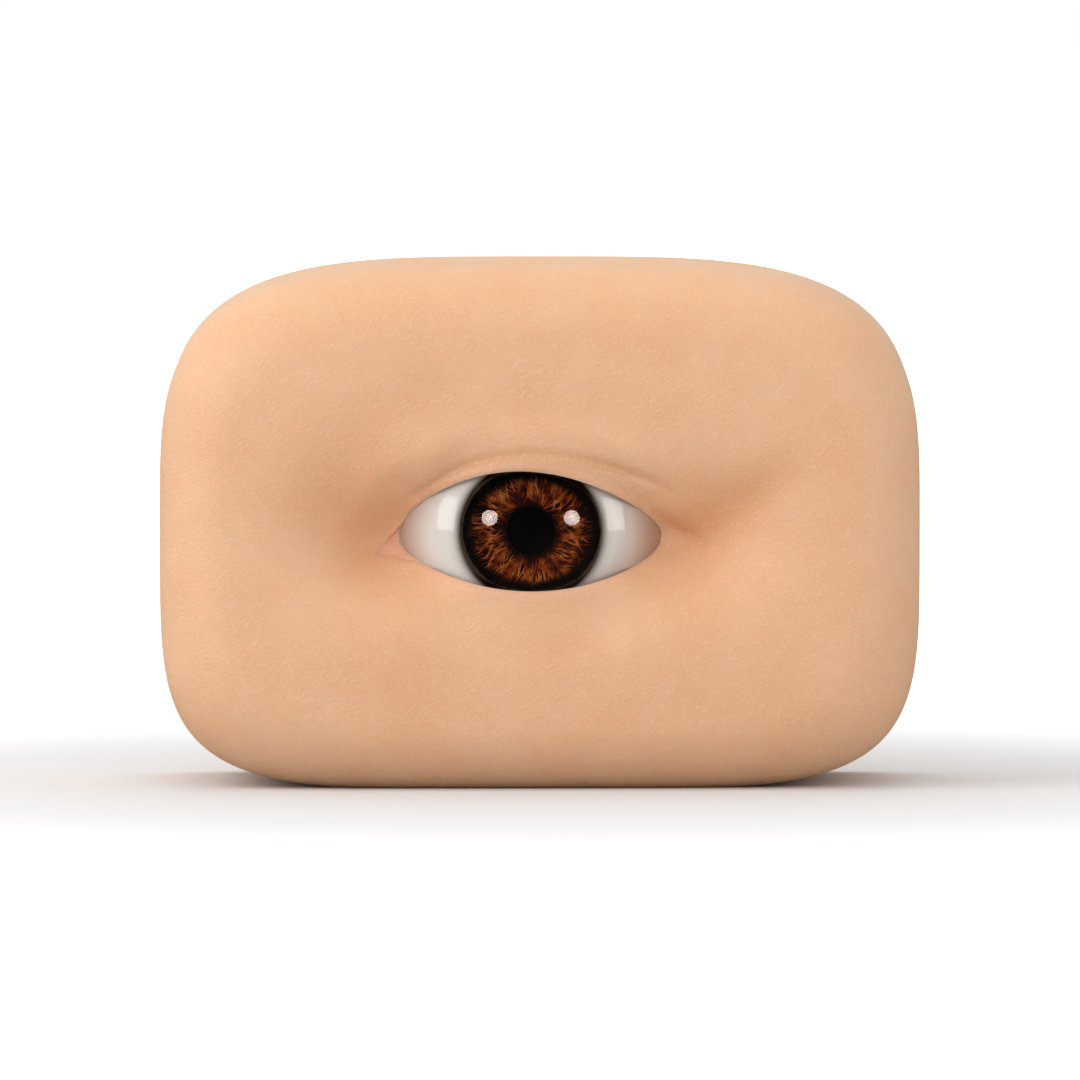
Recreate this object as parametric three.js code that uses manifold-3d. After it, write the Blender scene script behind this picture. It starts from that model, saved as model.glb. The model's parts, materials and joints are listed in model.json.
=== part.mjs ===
// Practice eye model: a cast silicone pad with a life-size eye opening, and an acrylic eye that sits in a round
// socket behind the lids. A silicone plug closes the socket at the back and carries the eye in its cup.
// Millimetres. +Z is up, +X is the temple side and +Y points to the back. The pad stands on its long edge, and the
// origin is the middle of that flat edge.
import * as THREE from "three";
import { mergeVertices } from "three/addons/utils/BufferGeometryUtils.js";
import Module from "manifold-3d";

const wasm = await Module();
wasm.setup();

// Pad block
const padWidth = 78.2; // at the back edge, where the block is widest
const padHeight = 53.6;
const padDepth = 35;
const outlineHeight = 27.2; // height of the outline's widest line
const squareTop = 3.7; // superellipse powers of the outline's upper and lower halves
const squareBottom = 4.7;
const wallDraft = 0.3; // how far the walls lean in from the back edge to the front shoulder
const standSink = 0.35; // how far the front shoulder's outline is cut flat by the edge that the pad stands on
const shoulderWidth = 7; // the rounding from the face into the walls
const shoulderDrop = 7.5;
const backRounding = 1.2;
const crownDrop = 2.2; // the face falls back by this from its middle to its outline
const crownPower = 2.2;
const templeDrop = 0.9; // the temple side stands this much lower than the middle, the nasal side as much higher

// Eye
const eyeShift = -0.95; // the eye's centre, beside the middle of the pad and above the edge it stands on
const eyeHeight = 26.4;
const corneaProud = 0.8; // the cornea stands out in front of the pad's nominal face by this
const ballRadius = 15;
const limbusRadius = 7.2; // edge of the clear cornea
const corneaRadius = 10; // its curvature
const shellWall = 2.2; // of the hollow white ball
const gazeLimit = 20; // degrees that the eye turns to each side

// Fits
const socketGap = 0.3; // between the silicone and the eye
const plugGap = 0.3;
const plugSeatGap = 0.2; // under the plug's flange
const castGap = 0.1; // between the acrylic eye's own pieces

// Eye opening, from the eye's centre. Each lid edge is a lobe over the opening's long axis.
const openingMiddle = -0.03;
const openingHalf = 13.3;
const openingAxis = -0.5;
const upperLid = { rise: 6.6, power: 1.15, lean: -0.117, pinch: -0.165 };
const lowerLid = { rise: -5.55, power: 0.8, lean: 0.018, pinch: -0.27 };
const lidEdge = 0.45; // rounding of the lid's outer edge
const lidEdgeShare = 0.6; // and the most of the margin's thickness that it takes
const lidWall = 1.8; // skin over the eye, at the middle of the lids
const lidReach = 15.4; // half width of the lids' dome
const lidMargin = 0.9; // the lids thin to this at the opening's edge, over the margin's reach
const fleshMargin = 0.3; // and the flesh at the inner corner to this
const marginReach = 5.5;
const marginSoft = 0.3; // rounding between the stretches of the edge that thin and those that don't

// Skin round the eye, from the eye's centre: the first number runs to the temple, the second up. Hollows are soft
// dips. A fold is a groove along an arched line with a roll of skin above it, and it fades in and out at shares of
// its length.
const nasalCorner = openingMiddle - openingHalf;
const templeCorner = openingMiddle + openingHalf;
const orbit = { at: [0, 0], wide: 20, tall: 12.5, deep: 2.2 };
const orbitBelow = 0.55; // share of the orbit's depth that is left below the eye
const orbitChange = [-8, 0];
const outerCanthus = { at: [templeCorner + 3.2, -1], wide: 7.5, tall: 6, deep: 4.3 };
const innerCanthus = { at: [nasalCorner - 3.6, -1], wide: 6.2, tall: 5.6, deep: 4.6 };
const crease = {
  from: [nasalCorner - 1, 1.5],
  to: [templeCorner + 2.7, 3.3],
  arch: 5.7,
  lean: 0.2,
  deep: 0.45,
  wide: 0.55,
  roll: 0.3,
  rollUp: 1.9,
  rollWide: 1.6,
  fadeIn: [0, 0.16],
  fadeOut: [0.8, 1],
};
const sulcus = {
  from: [nasalCorner - 8.5, 3.2],
  to: [nasalCorner + 8.3, 15],
  arch: 2.9,
  lean: 0,
  deep: 0.45,
  wide: 3.2,
  roll: 0,
  rollUp: 1,
  rollWide: 1,
  fadeIn: [-0.3, 0.3],
  fadeOut: [0.5, 1.3],
};
const hood = {
  from: [templeCorner - 1.8, 2.2],
  to: [templeCorner + 3.1, -0.7],
  arch: 0,
  lean: 0,
  deep: 0.55,
  wide: 0.7,
  roll: 0.35,
  rollUp: 1.6,
  rollWide: 1.3,
  fadeIn: [-0.1, 0.4],
  fadeOut: [0.9, 1.5],
};
const templeFold = {
  from: [templeCorner + 3.2, -0.6],
  to: [templeCorner + 17.2, 8.9],
  arch: 0,
  lean: 0,
  deep: 0.7,
  wide: 2.6,
  roll: 0,
  rollUp: 1,
  rollWide: 1,
  fadeIn: [-0.1, 0.15],
  fadeOut: [0.4, 1],
};
const tearTrough = {
  from: [nasalCorner - 1, -9],
  to: [templeCorner + 3, -9],
  arch: -2.4,
  lean: 0,
  deep: 0.12,
  wide: 2.4,
  roll: 0,
  rollUp: 1,
  rollWide: 1,
  fadeIn: [0, 0.25],
  fadeOut: [0.75, 1],
};
// The wedge-shaped recess between the opening and the corner where the lids meet, with a bead of flesh in it.
const caruncle = {
  tip: [nasalCorner - 2.9, -2.85],
  upperSlope: 1.15,
  lowerSlope: -0.18,
  soft: 0.5,
  deep: 0.45,
  bead: 0.25,
  beadAt: [nasalCorner - 1, -1.8],
  beadWide: 1,
  beadTall: 0.6,
  fadeOut: [nasalCorner + 1.9, nasalCorner + 2.7],
};
const lidBlend = 1.6; // rounding where the upper lid's dome meets the face
const cheekBlend = 3.4; // and where the lower lid's dome meets the cheek
const blendChange = [-7, -1]; // the heights between which one rounding turns into the other
const lidFolding = 0.5; // share of the folds' depth that shows on the dome

// Iris assembly inside the cornea
const cupWall = 0.55;
const cupFloor = 0.6;
const cupDepth = 2.55;
const irisThickness = 0.5;
const irisDish = 0.4; // the iris dips by this towards the pupil
const pupilRadius = 2;
const pocketWall = 1.6; // of the white shell round and behind the cup
const jointLap = 2; // the ball's halves lap by this at the equator

// Plug
const plugLip = 8; // the plug's cup reaches forward to this far behind the eye's centre
const flangeRadius = 18.3;
const flangeThickness = 2.5;
const gripRadius = 11.5; // two finger recesses beside a grip bar
const gripBar = 5;
const gripDepth = 2.2;

const plugBevel = 0.8;

// Facets
const columns = 96; // steps round the pad's loft
const faceRings = 18; // steps from the lid's edge to the shoulder, which crowd towards the lid
const faceEven = 0.55; // share of that spacing which is even
const faceCrowding = 2.6; // and the power of the rest
const turns = 40; // steps round the turned pieces

// Derived places
const faceY = -padDepth / 2;
const backY = padDepth / 2;
const limbusAngle = Math.asin(limbusRadius / ballRadius);
const limbusY = -ballRadius * Math.cos(limbusAngle); // measured from the eye's centre, as the eye's profiles are
const corneaCentre = -limbusY - Math.sqrt(corneaRadius ** 2 - limbusRadius ** 2);
const eyeY = faceY - corneaProud + corneaCentre + corneaRadius;
const boreRadius = ballRadius + socketGap;
const counterbore = flangeThickness + plugSeatGap;
const counterboreY = backY - counterbore;

const clamp = (v, low, high) => Math.min(high, Math.max(low, v));
const mix = (a, b, t) => a + (b - a) * t;
const smooth = (low, high, v) => {
  const t = clamp((v - low) / (high - low), 0, 1);
  return t * t * (3 - 2 * t);
};
const bell = (distance, width) => Math.exp(-((distance / width) ** 2));
const steps = (count, from, to) => Array.from({ length: count + 1 }, (_, i) => from + ((to - from) * i) / count);

// A point of the pad's outline, moved in by inset. angle runs from the temple side over the top.
function outline(angle, inset) {
  const c = Math.cos(angle);
  const s = Math.sin(angle);
  const power = s > 0 ? squareTop : squareBottom;
  const halfHeight = s > 0 ? padHeight - outlineHeight : outlineHeight + wallDraft + standSink;
  const scale = (Math.abs(c) ** power + Math.abs(s) ** power) ** (-1 / power);
  const x = (padWidth / 2 - inset) * c * scale;
  const z = outlineHeight + (halfHeight - inset) * s * scale;
  return [x, Math.max(z, 0)];
}

// A point of the eye opening, from the eye's centre.
function opening(angle) {
  const c = Math.cos(angle);
  const s = Math.sin(angle);
  const lid = s > 0 ? upperLid : lowerLid;
  const height = lid.rise * Math.abs(s) ** lid.power * (1 + lid.lean * c + lid.pinch * c * c);
  return [openingMiddle + openingHalf * c, openingAxis + height];
}

// Depth of a hollow at a place.
function hollowDepth(hollow, u, w) {
  return hollow.deep * bell(u - hollow.at[0], hollow.wide) * bell(w - hollow.at[1], hollow.tall);
}

// Depth of a fold at a place: its groove, less the roll above it.
function foldDepth(fold, u, w) {
  const runU = fold.to[0] - fold.from[0];
  const runW = fold.to[1] - fold.from[1];
  const fromU = u - fold.from[0];
  const fromW = w - fold.from[1];
  const length = Math.hypot(runU, runW);
  const along = (fromU * runU + fromW * runW) / length ** 2;
  const bow = 4 * along * (1 - along) * (1 + fold.lean * (1 - 2 * along));
  const slope = (4 * fold.arch * (1 - 2 * along)) / length;
  const above = ((fromW * runU - fromU * runW) / length - fold.arch * bow) / Math.hypot(1, slope);
  const fade = smooth(...fold.fadeIn, along) * (1 - smooth(...fold.fadeOut, along));
  return fade * (fold.deep * bell(above, fold.wide) - fold.roll * bell(above - fold.rollUp, fold.rollWide));
}

// 1 in the wedge of the inner canthus, and 0 outside it.
function caruncleShare(u, w) {
  const [tipU, tipW] = caruncle.tip;
  const belowUpper = tipW + caruncle.upperSlope * (u - tipU) - w;
  const aboveLower = w - tipW - caruncle.lowerSlope * (u - tipU);
  const inside = smooth(0, caruncle.soft, belowUpper) * smooth(0, caruncle.soft, aboveLower);
  return inside * (1 - smooth(...caruncle.fadeOut, u));
}

// Depth of that wedge at a place.
function caruncleDepth(u, w) {
  const [beadU, beadW] = caruncle.beadAt;
  const bead = caruncle.bead * bell(u - beadU, caruncle.beadWide) * bell(w - beadW, caruncle.beadTall);
  return (caruncle.deep - bead) * caruncleShare(u, w);
}

// The y of the skin at a place on the face: the crowned and folded face, with the lids' dome standing out of it.
function skinY(x, z) {
  const u = x - eyeShift;
  const w = z - eyeHeight;
  const power = z > outlineHeight ? squareTop : squareBottom;
  const halfHeight = z > outlineHeight ? padHeight - outlineHeight : outlineHeight;
  const fromMiddle =
    (Math.abs((2 * x) / padWidth) ** power + Math.abs((z - outlineHeight) / halfHeight) ** power) ** (1 / power);
  const socket = hollowDepth(orbit, u, w) * mix(orbitBelow, 1, smooth(...orbitChange, w));
  const hollows = [outerCanthus, innerCanthus].map((hollow) => hollowDepth(hollow, u, w));
  const folds = [crease, sulcus, hood, templeFold, tearTrough].map((fold) => foldDepth(fold, u, w));
  const relief = [...hollows, ...folds].reduce((sum, depth) => sum + depth, socket);
  const face = faceY + crownDrop * fromMiddle ** crownPower + (templeDrop * 2 * x) / padWidth + relief;
  const lidRadius = ballRadius + socketGap + lidWall;
  const round = Math.max(0, 1 - (u / lidReach) ** 2 - (w / lidRadius) ** 2);
  const dome = eyeY - lidRadius * Math.sqrt(round) + lidFolding * (relief - orbit.deep);
  const blend = mix(cheekBlend, lidBlend, smooth(...blendChange, w));
  const share = clamp(0.5 + (0.5 * (face - dome)) / blend, 0, 1);
  return mix(face, dome, share) - blend * share * (1 - share) + caruncleDepth(u, w);
}

// How far the cornea stands above the white ball, at an angle off the eye's axis.
function corneaBulge(angle) {
  if (angle >= limbusAngle) return 0;
  const reach = corneaCentre * Math.cos(angle);
  return reach + Math.sqrt(corneaRadius ** 2 - (corneaCentre * Math.sin(angle)) ** 2) - ballRadius;
}

// Radius of the socket behind the lids: the ball's, with room for the cornea as the eye turns from side to side.
function socketRadius(tilt, round) {
  const right = Math.sin(tilt) * Math.cos(round);
  const front = Math.cos(tilt);
  const limit = THREE.MathUtils.degToRad(gazeLimit);
  const turned = clamp(Math.atan2(right, front), -limit, limit);
  const offAxis = Math.acos(clamp(right * Math.sin(turned) + front * Math.cos(turned), -1, 1));
  return ballRadius + socketGap + corneaBulge(offAxis);
}

// One column of the pad's loft: a closed line from the lid's edge over the face, round the block and back
// through the bore and the socket to the lid's inner edge.
function padColumn(angle) {
  const line = [];
  const [u, w] = opening(angle);
  const edge = [u + eyeShift, w + eyeHeight];
  const shoulder = outline(angle, wallDraft + shoulderWidth);
  const reach = Math.hypot(shoulder[0] - edge[0], shoulder[1] - edge[1]);
  const at = (distance) => {
    const t = distance / reach;
    return [mix(edge[0], shoulder[0], t), mix(edge[1], shoulder[1], t)];
  };
  const push = (place, y) => line.push(new THREE.Vector3(place[0], y, place[1]));

  // The inner edge of the lid, on the socket's surface.
  const round = Math.atan2(w, u);
  const offset = Math.hypot(u, w);
  let tilt = Math.asin(offset / boreRadius);
  for (let i = 0; i < 6; i += 1) tilt = Math.asin(offset / socketRadius(tilt, round));
  const innerY = eyeY - socketRadius(tilt, round) * Math.cos(tilt);

  // Where the skin at the edge would be thicker than the lids' margin, it is drawn back to it.
  const surplus = innerY - skinY(...edge) - mix(lidMargin, fleshMargin, caruncleShare(u, w));
  const drawn = 0.5 * (surplus + Math.hypot(surplus, marginSoft));
  const lidY = (distance) => skinY(...at(distance)) + drawn * (1 - smooth(0, marginReach, distance));

  const edgeRound = Math.min(lidEdge, lidEdgeShare * (innerY - lidY(0)));
  for (const turn of steps(2, Math.PI / 2, 0)) {
    push(at(edgeRound * (1 - Math.sin(turn))), lidY(edgeRound) + edgeRound * (1 - Math.cos(turn)));
  }
  for (const t of steps(faceRings, 0, 1).slice(1)) {
    const distance = mix(edgeRound, reach, mix(t ** faceCrowding, t, faceEven));
    push(at(distance), lidY(distance));
  }
  for (const turn of steps(4, 0, Math.PI / 2).slice(1)) {
    const place = outline(angle, wallDraft + shoulderWidth * (1 - Math.sin(turn)));
    push(place, skinY(...place) + shoulderDrop * (1 - Math.cos(turn)));
  }
  for (const turn of steps(2, 0, Math.PI / 2)) {
    push(outline(angle, backRounding * (1 - Math.cos(turn))), backY - backRounding * (1 - Math.sin(turn)));
  }

  // The bore's steps spread evenly, while the lid's follow the opening.
  const even = angle > Math.PI ? angle - 2 * Math.PI : angle;
  const circle = (radius, y) => push([radius * Math.cos(even) + eyeShift, radius * Math.sin(even) + eyeHeight], y);
  circle(flangeRadius + plugGap, backY);
  circle(flangeRadius + plugGap, counterboreY);
  circle(boreRadius, counterboreY);
  circle(boreRadius, eyeY);
  const from = Math.abs(round - even) > Math.PI ? round + 2 * Math.PI * Math.sign(even - round) : round;
  for (const t of steps(5, 0, 1).slice(1)) {
    const lean = mix(Math.PI / 2, tilt, t);
    const turn = mix(even, from, t ** 1.5);
    const radius = socketRadius(lean, turn);
    const out = radius * Math.sin(lean);
    push([out * Math.cos(turn) + eyeShift, out * Math.sin(turn) + eyeHeight], eyeY - radius * Math.cos(lean));
  }
  return line;
}

// A closed surface through lines of points that all have as many points, joined round both ways.
function closedLoft(lines) {
  const count = lines[0].length;
  const index = [];
  lines.forEach((_, i) => {
    const next = (i + 1) % lines.length;
    for (let j = 0; j < count; j += 1) {
      const k = (j + 1) % count;
      const [a, b, c, d] = [i * count + j, next * count + j, next * count + k, i * count + k];
      index.push(a, c, b, a, d, c);
    }
  });
  return new THREE.BufferGeometry().setFromPoints(lines.flat()).setIndex(index);
}

function skinPadGeometry() {
  const angles = steps(columns, 0, 2 * Math.PI).slice(0, -1);
  return closedLoft(angles.map(padColumn));
}

// An arc of a circle centred on the eye's axis at height centre, as profile points from one angle to another.
// Angle 0 is the front of the axis.
function arc(radius, centre, from, to, count) {
  return steps(count, from, to).map((a) => [radius * Math.sin(a), centre - radius * Math.cos(a)]);
}

// A piece turned about the eye's axis, from a profile of [radius, y] pairs.
function turned(profile) {
  const geometry = new THREE.LatheGeometry(
    profile.map(([radius, y]) => new THREE.Vector2(Math.max(radius, 0), y)),
    turns,
  );
  return geometry;
}

const quarter = Math.PI / 2;
const cupRadius = limbusRadius - castGap;
const cupInner = cupRadius - cupWall;
const cupRimY = limbusY + castGap;
const cupFloorY = cupRimY + cupDepth;
const cupBackY = cupFloorY + cupFloor;
const irisRadius = cupInner - castGap;
const irisEdgeY = cupFloorY - castGap - irisThickness - irisDish;
const innerRadius = ballRadius - shellWall;

// The front half of the white ball, with a pocket for the iris cup and a rebate at its rim.
function scleraFrontGeometry() {
  const pocketY = cupBackY + castGap;
  const bossRadius = limbusRadius + pocketWall;
  const bossY = pocketY + pocketWall;
  const lapRadius = ballRadius - shellWall / 2;
  const rebateY = -jointLap - castGap;
  const inner = arc(innerRadius, 0, Math.acos(-rebateY / innerRadius), Math.asin(bossRadius / innerRadius), 5);
  return turned([
    [0, pocketY],
    [limbusRadius, pocketY],
    ...arc(ballRadius, 0, limbusAngle, quarter, 9),
    [lapRadius, 0],
    [lapRadius, rebateY],
    ...inner,
    [bossRadius, bossY],
    [0, bossY],
  ]);
}

// The back half, whose spigot laps inside the front half's rebate.
function scleraBackGeometry() {
  const spigotRadius = ballRadius - shellWall / 2 - castGap;
  return turned([
    ...arc(innerRadius, 0, Math.PI, quarter + 0.05, 6),
    [Math.sqrt(innerRadius ** 2 - jointLap ** 2), -jointLap],
    [spigotRadius, -jointLap],
    [spigotRadius, castGap],
    ...arc(ballRadius, 0, Math.acos(-castGap / ballRadius), Math.PI, 9),
  ]);
}

// The black cup that holds the iris and shows as a dark ring round it.
function irisCupGeometry() {
  return turned([
    [0, cupFloorY],
    [cupInner, cupFloorY],
    [cupInner, cupRimY],
    [cupRadius, cupRimY],
    [cupRadius, cupBackY],
    [0, cupBackY],
  ]);
}

// The painted iris: a dished ring with a hole for the pupil.
function irisDiscGeometry() {
  const hole = pupilRadius + castGap;
  return turned([
    [hole, irisEdgeY + irisDish],
    [irisRadius, irisEdgeY],
    [irisRadius, cupFloorY - castGap],
    [hole, cupFloorY - castGap],
    [hole, irisEdgeY + irisDish],
  ]);
}

function pupilDiscGeometry() {
  return turned([
    [0, irisEdgeY + irisDish],
    [pupilRadius, irisEdgeY + irisDish],
    [pupilRadius, cupFloorY - castGap],
    [0, cupFloorY - castGap],
  ]);
}

// The clear cornea: a steeper dome than the ball, with a spigot that fills the cup down to the iris.
function corneaGeometry() {
  const backMiddle = irisEdgeY + irisDish - castGap;
  const backEdge = irisEdgeY - castGap;
  const domeEdge = Math.asin(cupRadius / corneaRadius);
  return turned([
    [0, backMiddle],
    [pupilRadius + castGap, backMiddle],
    [irisRadius, backEdge],
    [irisRadius, cupRimY - castGap],
    [cupRadius, cupRimY - castGap],
    ...arc(corneaRadius, -corneaCentre, domeEdge, 0, 8),
  ].reverse());
}

// A geometry as a solid for cutting, and a cut solid as a geometry.
function solidOf(geometry) {
  const bare = geometry.clone();
  bare.deleteAttribute("normal");
  bare.deleteAttribute("uv");
  const merged = mergeVertices(bare, 1e-4);
  const mesh = new wasm.Mesh({
    numProp: 3,
    vertProperties: merged.attributes.position.array,
    triVerts: new Uint32Array(merged.index.array),
  });
  return new wasm.Manifold(mesh);
}

function geometryOf(solid) {
  const mesh = solid.getMesh();
  const geometry = new THREE.BufferGeometry();
  geometry.setAttribute("position", new THREE.BufferAttribute(mesh.vertProperties, 3));
  geometry.setIndex(new THREE.BufferAttribute(mesh.triVerts, 1));
  return geometry;
}

// The plug's body: a cup for the ball, a shank in the bore and a flange in the counterbore.
function plugBodyGeometry() {
  const cupReach = ballRadius + socketGap;
  const lipAngle = Math.PI - Math.acos(plugLip / cupReach);
  const shank = boreRadius - plugGap;
  const back = backY - eyeY - plugSeatGap;
  const flangeFront = counterboreY - eyeY + plugSeatGap;
  return turned([
    ...arc(cupReach, 0, Math.PI, lipAngle, 7),
    [shank - plugBevel, plugLip],
    [shank, plugLip + plugBevel],
    [shank, flangeFront],
    [flangeRadius, flangeFront],
    [flangeRadius, back - plugBevel / 2],
    [flangeRadius - plugBevel / 2, back],
    [0, back],
  ]);
}

// A finger recess: a segment of a circle beside the grip bar, on the side that the sign gives.
function gripRecessGeometry(sign) {
  const start = Math.asin(gripBar / 2 / gripRadius);
  const shape = new THREE.Shape();
  shape.absarc(0, 0, gripRadius, start, Math.PI - start, false);
  shape.closePath();
  const geometry = new THREE.ExtrudeGeometry(shape, {
    depth: gripDepth * 2,
    bevelEnabled: false,
    curveSegments: 16,
  });
  geometry.rotateX(sign > 0 ? quarter : -quarter);
  if (sign < 0) geometry.translate(0, -gripDepth * 2, 0);
  return geometry.translate(0, backY - eyeY - plugSeatGap + gripDepth, 0);
}

function rearPlugGeometry() {
  let plug = solidOf(plugBodyGeometry());
  for (const sign of [1, -1]) plug = plug.subtract(solidOf(gripRecessGeometry(sign)));
  return geometryOf(plug);
}

const silicone = new THREE.MeshStandardMaterial({ color: "#e3ae86", roughness: 0.55, metalness: 0 });
const whiteAcrylic = new THREE.MeshStandardMaterial({ color: "#dcd8d2", roughness: 0.08, metalness: 0 });
const blackPlastic = new THREE.MeshStandardMaterial({ color: "#16110f", roughness: 0.3, metalness: 0 });
const brownPaint = new THREE.MeshStandardMaterial({ color: "#7a3c14", roughness: 0.45, metalness: 0 });
const clearAcrylic = new THREE.MeshStandardMaterial({
  color: "#f4f6f7",
  roughness: 0.03,
  metalness: 0,
  transparent: true,
  opacity: 0.3,
});

function named(name, geometry, material) {
  const mesh = new THREE.Mesh(geometry, material);
  mesh.name = name;
  return mesh;
}

const eye = new THREE.Group();
eye.position.set(eyeShift, eyeY, eyeHeight);
eye.add(
  named("sclera_front", scleraFrontGeometry(), whiteAcrylic),
  named("sclera_back", scleraBackGeometry(), whiteAcrylic),
  named("iris_cup", irisCupGeometry(), blackPlastic),
  named("iris_disc", irisDiscGeometry(), brownPaint),
  named("pupil_disc", pupilDiscGeometry(), blackPlastic),
  named("cornea", corneaGeometry(), clearAcrylic),
  named("rear_plug", rearPlugGeometry(), silicone),
);

const model = new THREE.Group();
model.add(named("skin_pad", skinPadGeometry(), silicone), eye);
export default model;
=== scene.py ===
import json
import math

import bmesh
import bpy
import numpy as np
from mathutils import Matrix, Vector


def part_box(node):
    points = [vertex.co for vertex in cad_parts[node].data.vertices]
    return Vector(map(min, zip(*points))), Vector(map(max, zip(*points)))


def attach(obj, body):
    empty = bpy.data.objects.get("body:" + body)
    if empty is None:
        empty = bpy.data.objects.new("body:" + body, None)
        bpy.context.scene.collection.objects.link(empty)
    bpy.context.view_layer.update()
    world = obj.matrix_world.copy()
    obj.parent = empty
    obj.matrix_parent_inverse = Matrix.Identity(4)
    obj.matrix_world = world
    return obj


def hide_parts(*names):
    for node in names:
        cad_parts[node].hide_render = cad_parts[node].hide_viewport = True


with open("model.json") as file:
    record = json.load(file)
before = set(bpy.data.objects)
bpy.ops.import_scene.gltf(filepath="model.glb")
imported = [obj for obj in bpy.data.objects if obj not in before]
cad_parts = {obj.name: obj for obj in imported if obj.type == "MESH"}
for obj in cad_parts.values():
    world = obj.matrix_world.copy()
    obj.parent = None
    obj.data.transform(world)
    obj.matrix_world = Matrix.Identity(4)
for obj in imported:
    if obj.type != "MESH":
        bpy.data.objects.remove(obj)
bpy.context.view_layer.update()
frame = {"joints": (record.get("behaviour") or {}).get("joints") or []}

# Skin pad
# One casting of skin-coloured silicone, poured in a closed mould round a core that leaves the eye's socket.
# Its face has the sculpted lids and folds of one eye. It stands on its flat lower edge, and its back is flat.
MM = 0.001
yaw_joint = next(joint for joint in frame["joints"] if joint["name"] == "gaze_yaw")
eye_x, eye_y, eye_z = (place / MM for place in yaw_joint["pos_m"])
pad_low, pad_high = (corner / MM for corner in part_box("skin_pad"))
pad_width = pad_high.x - pad_low.x
pad_height = pad_high.z
pad_depth = 35
back_y = pad_high.y
face_y = back_y - pad_depth
outline_height = 27.2  # height of the outline's widest line
square_top = 3.7  # superellipse powers of the outline's upper and lower halves
square_bottom = 4.7
wall_draft = 0.3
stand_sink = 0.35  # the front shoulder's outline is cut flat by this much
shoulder_width = 7
shoulder_drop = 7.5
back_rounding = 1.2
crown_drop = 2.2
crown_power = 2.2
temple_drop = 0.9

opening_middle = -0.03
opening_half = 13.3
opening_axis = -0.5
upper_lid = {"rise": 6.6, "power": 1.15, "lean": -0.117, "pinch": -0.165}
lower_lid = {"rise": -5.55, "power": 0.8, "lean": 0.018, "pinch": -0.27}
lid_edge = 1.1  # width of the rounding with which the lids meet the eye
lid_edge_share = 2.4  # and the most that it is of their thickness there
lid_lip = 0.05  # share of the thickness that stands square on the eye
lid_wall = 1.8
lid_reach = 15.4
lid_blend = 1.6  # rounding where the upper lid's dome meets the face
cheek_blend = 3.4  # and where the lower lid's dome meets the cheek
blend_change = (-7, -1)
lid_folding = 0.5
lid_margins = (0.4, 0.5)  # the lower and the upper lid are no thicker than this at the opening's edge
corner_margin = 0.12  # and no thicker than this at its corners, so that no crevice stays there
margin_reach = (8.5, 5.5)  # how far from the edge the lower and the upper lid thin towards it
margin_soft = 0.3
lid_touch = -0.01  # the soft lids press on the eye, by this much
rim_wetness = 0.6  # how moist the lids' edge looks, from 0 to 1

ball_radius = 15
limbus_radius = 7.2
cornea_radius = 10
gaze_limit = math.radians(yaw_joint["range_deg"][1])
socket_gap = 0.3
plug_gap = 0.3
flange_radius = 18.3
counterbore = 2.7
limbus_angle = math.asin(limbus_radius / ball_radius)
limbus_y = -ball_radius * math.cos(limbus_angle)
cornea_centre = -limbus_y - math.sqrt(cornea_radius**2 - limbus_radius**2)
bore_radius = ball_radius + socket_gap

nasal_corner = opening_middle - opening_half
temple_corner = opening_middle + opening_half
orbit = {"at": (0, 0), "wide": 20, "tall": 12.5, "deep": 2.2}
orbit_below = 0.55  # share of the orbit's depth that is left below the eye
orbit_change = (-8, 0)
canthi = [
    {"at": (temple_corner + 3.2, -1), "wide": 7.5, "tall": 6, "deep": 4.3},
    {"at": (nasal_corner - 3.6, -1), "wide": 6.2, "tall": 5.6, "deep": 4.6},
]
folds = {
    "crease": {
        "start": (nasal_corner - 1, 1.5),
        "end": (temple_corner + 2.7, 3.3),
        "arch": 5.55,
        "lean": 0.2,
        "deep": 0.62,
        "wide": 0.52,
        "roll": 0.3,
        "roll_up": 1.9,
        "roll_wide": 1.6,
        "fade_in": (0, 0.16),
        "fade_out": (0.8, 1),
    },
    "sulcus": {
        "start": (nasal_corner - 8.5, 3.2),
        "end": (nasal_corner + 8.3, 15),
        "arch": 2.9,
        "lean": 0,
        "deep": 0.4,
        "wide": 3.2,
        "roll": 0,
        "roll_up": 1,
        "roll_wide": 1,
        "fade_in": (-0.3, 0.3),
        "fade_out": (0.5, 1.3),
    },
    "hood": {
        "start": (temple_corner - 1.8, 2.2),
        "end": (temple_corner + 3.1, -0.7),
        "arch": 0,
        "lean": 0,
        "deep": 0.55,
        "wide": 0.7,
        "roll": 0.35,
        "roll_up": 1.6,
        "roll_wide": 1.3,
        "fade_in": (-0.1, 0.4),
        "fade_out": (0.9, 1.5),
    },
    "temple fold": {
        "start": (temple_corner + 3.2, -0.6),
        "end": (temple_corner + 17.2, 8.9),
        "arch": 0,
        "lean": 0,
        "deep": 0.7,
        "wide": 2.6,
        "roll": 0,
        "roll_up": 1,
        "roll_wide": 1,
        "fade_in": (-0.1, 0.15),
        "fade_out": (0.4, 1),
    },
}
caruncle = {
    "tip": (nasal_corner - 2.9, -2.85),
    "upper_slope": 1.15,
    "lower_slope": -0.18,
    "soft": 0.5,
    "deep": 0.45,
    "bead": 0.25,
    "bead_at": (nasal_corner - 1, -1.8),
    "bead_wide": 1,
    "bead_tall": 0.6,
    "fade_out": (nasal_corner + 1.9, nasal_corner + 2.7),
}


def mix(a, b, share):
    return a + (b - a) * share


def smooth(low, high, value):
    share = np.clip((value - low) / (high - low), 0, 1)
    return share * share * (3 - 2 * share)


def bell(distance, width):
    return np.exp(-((distance / width) ** 2))


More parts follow.
